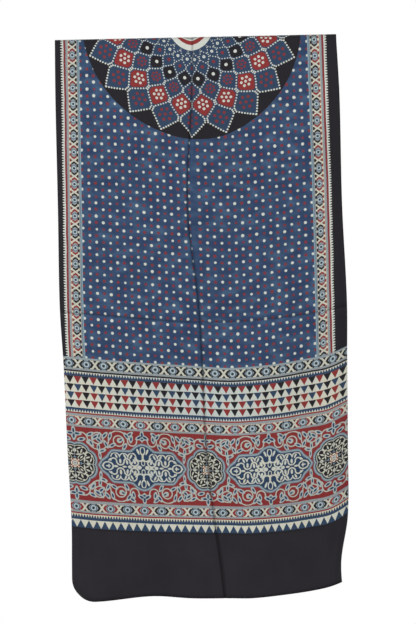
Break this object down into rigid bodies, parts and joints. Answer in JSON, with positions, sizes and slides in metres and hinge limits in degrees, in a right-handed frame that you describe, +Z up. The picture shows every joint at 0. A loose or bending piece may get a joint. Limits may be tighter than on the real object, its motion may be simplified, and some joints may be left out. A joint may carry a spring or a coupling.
{
  "type": "ajrakh stole hung by its middle",
  "caption": "Long block-printed silk stole, folded at its middle and hung, in indigo, red and black, with a dotted field, borders and a round medallion at the fold.",
  "frame": {"origin": "middle of the underside of the top fold, where the cloth bears on what holds it", "axes": "+X across the cloth to the viewer's right as its printed front is faced, +Y away from that viewer towards the back half, +Z up"},
  "size_m": [0.5625, 0.0499, 1.0999],
  "materials": {
    "printed_silk": "soft, lightly lustrous silk, block printed"
  },
  "bodies": {
    "root": {"cloth": "printed_silk"}
  },
  "joints": []
}
